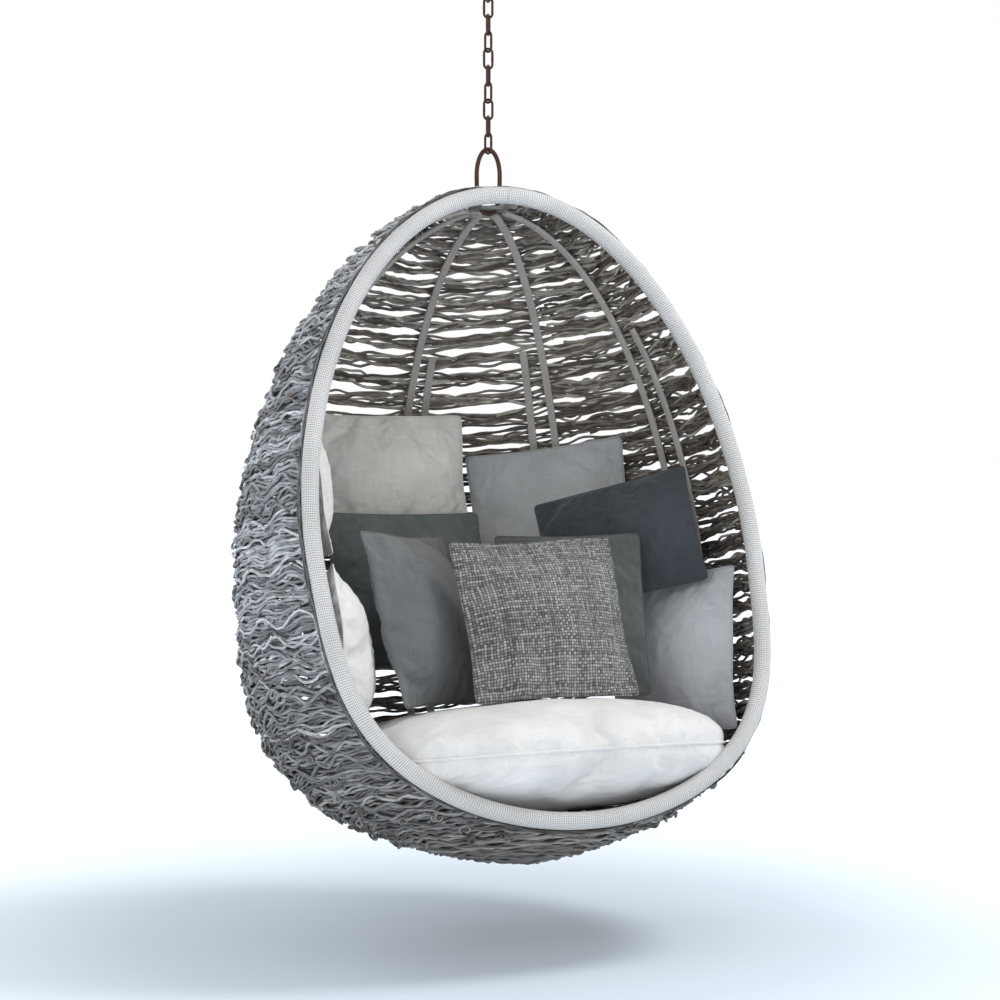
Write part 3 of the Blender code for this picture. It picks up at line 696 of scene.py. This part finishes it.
def border(line, away, level, total):
    """Thin dark strands that run along the outer and back edge of the rim."""
    rng, tubes = np.random.default_rng(7), Tubes()
    back = -np.sign(np.mean(level @ FRONT))
    x = np.arange(len(line)) * total / len(line)
    parts = [(0.0016, total / 9), (0.0012, total / 23), (0.0006, total / 61)]
    for out, behind, radius, tint in BORDER:
        out, behind = out + swings(rng, x, parts), behind + swings(rng, x, parts)
        path = line + away * out[:, None] + back * level * behind[:, None]
        tubes.add(path, away, radius, tint, closed=True)
    add_object("rim_border_strands", tubes.mesh("rim_border_strands"), "basket",
               bpy.data.materials["wicker_strand"])


def rounded_strip(width, thickness, corner=0.0016, steps=3):
    """The section of a flat strip with rounded edges."""
    points = []
    for quarter in range(4):
        x = (width / 2 - corner) * (1, -1, -1, 1)[quarter]
        y = (thickness / 2 - corner) * (1, 1, -1, -1)[quarter]
        for step in range(steps + 1):
            angle = math.pi / 2 * (quarter + step / steps)
            points.append((x + corner * math.cos(angle), y + corner * math.sin(angle)))
    return np.array(points)


def rib(name, azimuth, upper, lower, mat):
    """One rib: a rounded strip bent along the egg, flat against the weave."""
    turn, count = math.radians(azimuth), max(8, int((lower - upper) / 0.014))
    lengths = np.linspace(upper, lower, count)
    turns = np.full(count, turn)
    middle = on_egg(lengths, turns, -RIB_INSET - RIB_THICKNESS / 2)
    out = outward(lengths, turns)
    side = np.array(BASKET.to_3x3() @ Vector((math.cos(turn), -math.sin(turn), 0)))
    section = rounded_strip(RIB_WIDTH, RIB_THICKNESS)
    ring = middle[:, None] + section[None, :, :1] * side[None, None] + section[None, :, 1:] * out[:, None]
    n = len(section)
    faces = tube_quads(count, n, False).tolist() + [list(range(n)), list(range((count - 1) * n, count * n))]
    mesh = mesh_of(f"{name}_strip", ring.reshape(-1, 3).tolist(), faces)
    outward_faces(mesh)
    mesh.set_sharp_from_angle(angle=math.radians(50))
    add_object(f"{name}_strip", mesh, "basket", mat, [name])


def ribs():
    mat = strip()
    foot = length_at_radius(BASE_PLATE_RADIUS + 0.012, lower=True)
    for group, upper, lower in ((MAIN_RIBS, CROWN_PLATE_RADIUS + 0.004, foot),
                                (SIDE_RIBS, 0.36, length_at_radius(0.22, lower=True))):
        for azimuth in group:
            rib(rib_name(azimuth), azimuth, length_at_radius(upper), lower, mat)
    for azimuth in FRONT_RIBS:
        lengths = foot - 0.002 * np.arange(400)
        clear = lengths[widest_azimuth(lengths, 0.023) >= math.radians(abs(azimuth)) - 1e-9]
        rib(rib_name(azimuth), azimuth, clear.min(), foot, mat)


def rib_name(azimuth):
    side = "left" if azimuth < 0 else "right"
    return f"rib_{side}_{abs(azimuth):05.1f}".replace(".", "_")


# ---------------------------------------------------------------- ceiling fitting, chain and ring

def wire_mesh(name, line, radius, ups, sides=14):
    tubes = Tubes(sides)
    tubes.add(line, ups, radius, 0.0, closed=True)
    mesh = tubes.mesh(name)
    outward_faces(mesh)
    return mesh


def stadium(bend, straight, count=14):
    """The centre line of a chain link, upright in X and Z, about its middle."""
    turn = np.pi * np.arange(count + 1) / count
    half = np.stack([bend * np.cos(turn), 0 * turn, straight / 2 + bend * np.sin(turn)], axis=-1)
    sides = straight * (np.arange(1, 6) / 6 - 0.5)
    left = np.stack([-bend + 0 * sides, 0 * sides, -sides], axis=-1)
    return np.concatenate([half, left, -half, -left])


def turned_z(points, yaw, height):
    turn = np.array(Matrix.Rotation(yaw, 3, "Z"))
    return np.asarray(points) @ turn.T + [0, 0, height]


def chain():
    mat = steel("chain_coat", (0.070, 0.034, 0.026), (0.20, 0.11, 0.08), roughness=0.42, metallic=0.75)
    half = LINK_STRAIGHT / 2 + LINK_BEND
    top = EYE_BOTTOM + EYE_WIRE + LINK_WIRE + 0.0005
    for k in range(LINK_COUNT):
        yaw = LAST_LINK_YAW - LINK_TWIST * (LINK_COUNT - 1 - k)
        line = turned_z(stadium(LINK_BEND, LINK_STRAIGHT), yaw, top - (2 * half - LINK_LAP) * k - half)
        ups = np.tile([-math.sin(yaw), math.cos(yaw), 0], (len(line), 1))
        name, weld = f"chain_link_{k + 1:02d}", np.abs(np.arange(len(line)) - 17)
        radius = LINK_WIRE * (1 + 0.10 * np.exp(-(weld / 1.2) ** 2))
        add_object(f"{name}_wire", wire_mesh(name, line, radius, ups), f"link_{k + 1:02d}", mat,
                   [name])
    ring(mat)


def ring(mat):
    """The egg-shaped ring, blunter at its foot."""
    turn = math.tau * np.arange(120) / 120
    across, up, blunt = np.cos(turn), np.sin(turn), 2 / RING_FOOT_POWER
    across = np.where(up < 0, np.sign(across) * np.abs(across) ** blunt, across)
    up = np.where(up < 0, -RING_LOWER * np.abs(up) ** blunt, RING_UPPER * up)
    line = np.stack([RING_HALF_WIDTH * across, 0 * up, RING_LOWER + up], axis=-1)
    mesh = wire_mesh("hanging_ring", line + np.array(JOINTS["basket_rock"]["pos_m"]), RING_WIRE,
                     np.tile([0, 1, 0], (len(line), 1)), sides=18)
    add_object("hanging_ring_wire", mesh, "ring", mat, ["hanging_ring"])


def lathe(name, profile, body, mat, replaces=(), centre=(0, 0), steps=96, bevel=0.0006):
    """A profile of (radius, height) turned about Z, from its top down its outside; its edges are eased."""
    points, rings, faces = [], [], []
    for radius, height in profile:
        count = steps if radius > 0 else 1
        rings.append(range(len(points), len(points) + count))
        points += [(centre[0] + radius * math.cos(math.tau * k / steps),
                    centre[1] + radius * math.sin(math.tau * k / steps), height) for k in range(count)]
    for upper, lower in zip(rings, rings[1:]):
        for k in range(steps):
            corners = [upper[k % len(upper)], upper[(k + 1) % len(upper)],
                       lower[(k + 1) % len(lower)], lower[k % len(lower)]]
            faces.append(list(dict.fromkeys(corners)))
    mesh = mesh_of(name, points, faces)
    outward_faces(mesh)
    ease(add_object(name, mesh, body, mat, replaces), bevel)


def ease(obj, width, segments=2):
    """Rounded edges with smooth shading between them."""
    bevel = obj.modifiers.new("eased edges", "BEVEL")
    bevel.width, bevel.segments, bevel.limit_method = width, segments, "ANGLE"
    bevel.angle_limit = math.radians(30)
    obj.data.shade_smooth()
    obj.data.set_sharp_from_angle(angle=math.radians(40))


def keep_looks(name, mat):
    """A CAD node that stays, with its own better material."""
    node = frame["nodes"][name]
    node.data.materials.clear()
    node.data.materials.append(mat)


def ceiling():
    brown = steel("brown_coat", (0.062, 0.033, 0.025), (0.22, 0.15, 0.11), metallic=0.7, wear=0.2)
    zinc = steel("zinc_plate", (0.52, 0.52, 0.50), (0.72, 0.71, 0.68), roughness=0.34, metallic=0.95)
    low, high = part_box("ceiling_plate")
    plate_foot, cup, cavity, cavity_top = high.z - 0.006, 0.020, 0.015, high.z - 0.008
    lathe("ceiling_plate_cover", [
        (0, high.z), (high.x - 0.001, high.z), (high.x, high.z - 0.001), (high.x, plate_foot + 0.003),
        (high.x - 0.003, plate_foot), (cup + 0.004, plate_foot), (cup + 0.001, plate_foot - 0.0015),
        (cup, plate_foot - 0.005), (cup, low.z), (cavity, low.z), (cavity, cavity_top), (0, cavity_top),
    ], "ceiling_fitting", brown, ["ceiling_plate"])
    for k in range(4):
        name = f"plate_screw_{k + 1}"
        foot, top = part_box(name)
        middle, head = (foot + top) / 2, plate_foot - 0.0003
        shaft = (top - foot).x / 4
        threads = []
        for turn in range(SCREW_THREADS):
            height = top.z - 0.006 - turn * SCREW_PITCH
            threads += [(shaft, height), (shaft * 0.78, height - SCREW_PITCH / 2)]
        lathe(f"{name}_thread", [
            (0, top.z), (shaft * 0.5, top.z - 0.003), *threads, (shaft * 0.9, head), (2 * shaft, head),
            (1.9 * shaft, head - 0.0012), (1.4 * shaft, foot.z + 0.0006), (0.5 * shaft, foot.z),
            (0.35 * shaft, foot.z + 0.0018), (0, foot.z + 0.0022),
        ], "ceiling_fitting", zinc, [name], centre=(middle.x, middle.y), steps=24, bevel=0.0002)
    foot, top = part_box("bearing_cap")
    bore, spigot = 0.0058, 0.0147
    lathe("bearing_cap_ring", [
        (bore, top.z), (spigot, top.z), (spigot, top.z - 0.0035), (cup, top.z - 0.0035),
        (cup, foot.z + 0.0008), (cup - 0.0008, foot.z), (bore + 0.0006, foot.z), (bore, foot.z + 0.0006),
        (bore, top.z),
    ], "ceiling_fitting", brown, ["bearing_cap"])
    for name in ("lower_race", "ball_cage", "upper_race", "swivel_nut"):
        keep_looks(name, zinc)
        ease(frame["nodes"][name], 0.0002, segments=1)
    eye(brown)


def eye(mat):
    """The eye bolt: a threaded shank that runs into a forged eye."""
    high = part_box("eye_bolt")[1]
    middle = EYE_BOTTOM + EYE_RADIUS
    yaw = LAST_LINK_YAW - LINK_TWIST * (LINK_COUNT - 1) + math.pi / 2
    turn = math.tau * np.arange(64) / 64
    line = np.stack([EYE_RADIUS * np.cos(turn), 0 * turn, EYE_RADIUS * np.sin(turn)], axis=-1)
    line = turned_z(line, yaw, middle)
    ups = np.tile([-math.sin(yaw), math.cos(yaw), 0], (64, 1))
    mesh = wire_mesh("eye_bolt_eye", line, EYE_WIRE, ups, 18)
    add_object("eye_bolt_eye", mesh, "swivel", mat, ["eye_bolt"])
    threads = []
    for turn in range(EYE_THREADS):
        height = high.z - 0.001 - turn * EYE_PITCH
        threads += [(EYE_SHANK_RADIUS - 0.0008, height), (EYE_SHANK_RADIUS, height - EYE_PITCH / 2)]
    neck = middle + EYE_RADIUS
    lathe("eye_bolt_shank", [
        (0, high.z), (EYE_SHANK_RADIUS - 0.0012, high.z), *threads, (EYE_SHANK_RADIUS, neck + 0.006),
        (EYE_SHANK_RADIUS * 1.15, neck + 0.002), (EYE_SHANK_RADIUS * 0.9, neck - 0.0005), (0, neck - 0.001),
    ], "swivel", mat, steps=48, bevel=0.0002)


def plates():
    mat = steel("frame_coat", (0.30, 0.29, 0.28), (0.45, 0.43, 0.40), roughness=0.5, metallic=0.5)
    for name in ("crown_plate", "base_plate", "rim_hoop"):
        keep_looks(name, mat)
    for name in ("crown_plate", "base_plate"):
        ease(frame["nodes"][name], 0.0008)


# ---------------------------------------------------------------- cushions

def pillow_mesh(name, size, cells, seed, corner=40, bow=-0.032, domed=False):
    """Two panels sewn round their edge, nearly flat or domed, with bowed sides and rounded corners."""
    width, height, thickness = size
    rng = np.random.default_rng(seed)
    grid = np.linspace(-1, 1, cells + 1)
    u, v = np.meshgrid(grid, grid)
    reach, angle = np.maximum(np.abs(u), np.abs(v)), np.arctan2(v, u)
    length = (np.abs(np.cos(angle)) ** corner + np.abs(np.sin(angle)) ** corner) ** (-1 / corner)
    radius = np.sin(reach * math.pi / 2) ** DOME[0] if domed else reach
    x = radius * length * np.cos(angle) * (1 + bow * (1 - v**2))
    z = radius * length * np.sin(angle) * (1 + bow * (1 - u**2))
    edge = reach > 1 - 1e-9
    if domed:
        sway, lift = 0, thickness / 2 * np.maximum(np.cos(reach * math.pi / 2), 0) ** DOME[1]
    else:
        sway = SWAY * (np.sin(2.3 * u + 1.9 * v + seed) + 0.5 * np.sin(5.1 * v - 4.3 * u + 2 * seed))
        lift = 0.10 * thickness * ((1 - u**2) * (1 - v**2)) ** 0.5
    lift = lift + 0.0005 + 0.0012 * rng.normal(size=u.shape)
    front, back = (np.stack([x * width / 2, np.where(edge, 0, side * lift) + sway, z * height / 2], axis=-1)
                   for side in (-1, 1))
    points = list(map(tuple, front.reshape(-1, 3)))
    index = np.arange((cells + 1) ** 2).reshape(u.shape)
    back_index = index.copy()
    for at in np.argwhere(~edge):
        back_index[tuple(at)] = len(points)
        points.append(tuple(back[tuple(at)]))
    faces = []
    for r in range(cells):
        for c in range(cells):
            corners = ((r, c), (r, c + 1), (r + 1, c + 1), (r + 1, c))
            faces.append([int(index[p]) for p in corners])
            faces.append([int(back_index[p]) for p in reversed(corners)])
    seam = np.concatenate([index[0, :-1], index[:-1, -1], index[-1, :0:-1], index[:0:-1, 0]])
    return mesh_of(name, points, faces), seam


def inflate(obj, seam, pressure, shrink, held):
    """Blows the sewn panels up with cloth pressure and keeps the result in the mesh.

    shrink is how far the panels and their seam draw in, below 0 for cloth cut larger. A held seam stays put.
    """
    group = obj.vertex_groups.new(name="seam")
    group.add([int(k) for k in seam], 1.0, "REPLACE")
    cloth = obj.modifiers.new("cloth", "CLOTH")
    settings = cloth.settings
    settings.quality, settings.mass, settings.air_damping = 6, 0.25, 2.0
    settings.tension_stiffness = settings.compression_stiffness = CLOTH_STIFFNESS
    settings.shear_stiffness, settings.bending_stiffness = 6, CLOTH_BENDING
    settings.tension_damping = settings.compression_damping = 12
    settings.use_pressure, settings.uniform_pressure_force = True, pressure
    settings.vertex_group_shrink, settings.shrink_min, settings.shrink_max = "seam", *shrink
    if held:
        settings.vertex_group_mass = "seam"
    settings.effector_weights.gravity = 0
    cloth.collision_settings.use_collision = False
    cloth.point_cache.frame_start, cloth.point_cache.frame_end = 1, CLOTH_FRAMES
    scene = bpy.context.scene
    for step in range(1, CLOTH_FRAMES + 1):
        scene.frame_set(step)
    graph = bpy.context.evaluated_depsgraph_get()
    mesh = bpy.data.meshes.new_from_object(obj.evaluated_get(graph))
    old = obj.data
    obj.modifiers.clear()
    obj.vertex_groups.clear()
    obj.data = mesh
    bpy.data.meshes.remove(old)
    scene.frame_set(1)


def co_of(mesh):
    points = np.empty(len(mesh.vertices) * 3, np.float32)
    mesh.vertices.foreach_get("co", points)
    return points.reshape(-1, 3).astype(float)


def fit_to(obj, size):
    """Scales the pillow to its CAD solid's width, thickness and height."""
    points = co_of(obj.data)
    low, high = points.min(axis=0), points.max(axis=0)
    wanted = np.array([size[0], size[2], size[1]])
    points = (points - (low + high) / 2) * wanted / (high - low)
    obj.data.vertices.foreach_set("co", points.astype(np.float32).ravel())
    obj.data.update()


def crease(mesh, seam):
    """Keeps the seam a sharp edge under subdivision."""
    ends = {frozenset(pair) for pair in zip(seam.tolist(), np.roll(seam, -1).tolist())}
    sharp = mesh.attributes.new("crease_edge", "FLOAT", "EDGE")
    sharp.data.foreach_set("value", [float(frozenset(edge.vertices) in ends) for edge in mesh.edges])


def seam_cord(name, points, radius, mat, place):
    """A cord sewn along the seam, on the line that the subdivided edge takes."""
    after, before = np.roll(points, -1, axis=0), np.roll(points, 1, axis=0)
    line = np.stack([(before + 6 * points + after) / 8, (points + after) / 2], axis=1).reshape(-1, 3)
    away = unit(line - line.mean(axis=0))
    tubes = Tubes(8)
    tubes.add(line + 0.25 * radius * away, np.tile([0, 1, 0], (len(line), 1)), radius, 0.5, closed=True)
    mesh = tubes.mesh(name)
    outward_faces(mesh)
    made = add_object(name, mesh, "basket", mat)
    made.matrix_world = place
    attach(made, "basket")


def cushion(name, size, centre, turns, mat, slot, seed, cord=0.0012, cells=44, pressure=3.0, fill=0.6,
            shrink=(-0.07, 0.0), held=True, **shape):
    """A pillow in its CAD solid's place, with a cord along its seam."""
    lean, turn, roll = turns
    mesh, seam = pillow_mesh(f"{name}_cover", size, cells, seed, **shape)
    made = add_object(f"{name}_cover", mesh, "basket", None)
    inflate(made, seam, pressure, shrink, held)
    fit_to(made, (size[0] * 0.99, size[1] * 0.99, size[2] * 0.98))
    made.data.materials.clear()
    made.data.materials.append(mat)
    made.data.shade_smooth()
    crease(made.data, seam)
    finer = made.modifiers.new("finer", "SUBSURF")
    finer.levels = finer.render_levels = 1
    rotation = (Euler((0, 0, math.radians(turn))).to_matrix() @ Euler((math.radians(-lean), 0, 0)).to_matrix()
                @ Euler((0, math.radians(roll), 0)).to_matrix())
    place = BASKET @ Matrix.Translation(centre) @ rotation.to_4x4()
    made.matrix_world = place
    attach(made, "basket")
    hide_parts(name)
    seam_cord(f"{name}_seam", co_of(made.data)[seam], cord, mat, place)


def cushions():
    for seed, (name, (size, centre, turns)) in enumerate(CUSHIONS.items()):
        mat = tweed(name) if name == "cushion_tweed" else fabric(name, CUSHION_COLOURS[name])
        cushion(name, size, centre, turns, mat, name, seed)
    seat = fabric("seat_linen", (0.71, 0.71, 0.705), thread=0.0013, slub=0.15, bump=0.0001)
    cushion("seat_cushion", SEAT_SIZE, SEAT_PLACE, (90, 0, 0), seat, "seat_fabric", 50, cord=0.0036, cells=72,
            pressure=0.8, fill=0.8, shrink=(0.0, 0.025), held=False, corner=SEAT_CORNER, bow=0.0, domed=True)


# ---------------------------------------------------------------- stage

def stage():
    """A plain pale floor with a painted shadow close to the chair and a painted glow that brightens it into
    the white sky, and the lights.
    """
    floor = bpy.data.objects.new("floor", bpy.data.meshes.new("floor"))
    bpy.context.scene.collection.objects.link(floor)
    shape = bmesh.new()
    bmesh.ops.create_circle(shape, cap_ends=True, segments=96, radius=60)
    shape.to_mesh(floor.data)
    shape.free()
    floor.location = (0, 0, FLOOR_Z)
    s = Shader("floor_paint", roughness=0.9, specular=0.1)
    place = s.node("ShaderNodeNewGeometry").outputs["Position"]
    pale = s.mix(s.spread(s.noise(place, 0.6, 2), 0.3, 0.7, 0.0, 1.0), *FLOOR_FAR)
    x, y, _ = s.parts(place)
    far = s.math("SQRT", s.math("ADD", s.times(x, x), s.times(y, y)))
    # Painted shadow: the floor is darker close to the chair.
    s.colour(s.mix(s.spread(far, 0.4, 1.6, 0.0, 1.0), FLOOR_PAINTED_SHADOW, pale))
    # Painted glow: the floor gives off light that grows with distance from the chair, so it brightens to
    # white further out.
    s.put(s.spread(far, 0.7, 2.4, 0.06, 0.56), s.out.inputs["Emission Strength"])
    s.out.inputs["Emission Color"].default_value = (1, 1, 1, 1)
    floor.data.materials.append(s.mat)
    world = bpy.data.worlds.new("studio")
    world.use_nodes = True
    tree = world.node_tree
    direction = tree.nodes.new("ShaderNodeTexCoord").outputs["Generated"]
    split = tree.nodes.new("ShaderNodeSeparateXYZ")
    tree.links.new(direction, split.inputs[0])
    fall = tree.nodes.new("ShaderNodeMapRange")
    for socket, value in zip(("From Min", "From Max", "To Min", "To Max"), SKY_FALL):
        fall.inputs[socket].default_value = value
    tree.links.new(split.outputs["Z"], fall.inputs["Value"])
    tree.links.new(fall.outputs[0], tree.nodes["Background"].inputs["Strength"])
    tree.nodes["Background"].inputs["Color"].default_value = (1, 1, 1, 1)
    bpy.context.scene.world = world
    for name, place, aim, size, power, colour in LIGHTS:
        data = bpy.data.lights.new(name, "AREA")
        data.shape, data.size, data.energy, data.color = "DISK", size, power, colour
        lamp = bpy.data.objects.new(name, data)
        bpy.context.scene.collection.objects.link(lamp)
        lamp.location = place
        lamp.rotation_euler = (Vector(aim) - Vector(place)).to_track_quat("-Z", "Y").to_euler()


def camera():
    data = bpy.data.cameras.new("camera")
    data.sensor_width, data.lens = 36, LENS
    data.shift_x, data.shift_y = SHIFT
    made = bpy.data.objects.new("camera", data)
    bpy.context.scene.collection.objects.link(made)
    level = math.cos(CAMERA_RISE)
    back = Vector((math.sin(CAMERA_TURN) * level, -math.cos(CAMERA_TURN) * level, math.sin(CAMERA_RISE)))
    right = Vector((math.cos(CAMERA_TURN), math.sin(CAMERA_TURN), 0))
    turn = Matrix((right, back.cross(right), back)).transposed()
    made.matrix_world = Matrix.Translation(CAMERA_PLACE) @ turn.to_4x4()
    bpy.context.scene.camera = made


camera()
shell()
rim()
ribs()
chain()
ceiling()
plates()
cushions()
stage()
bpy.context.scene.view_settings.view_transform = "Standard"
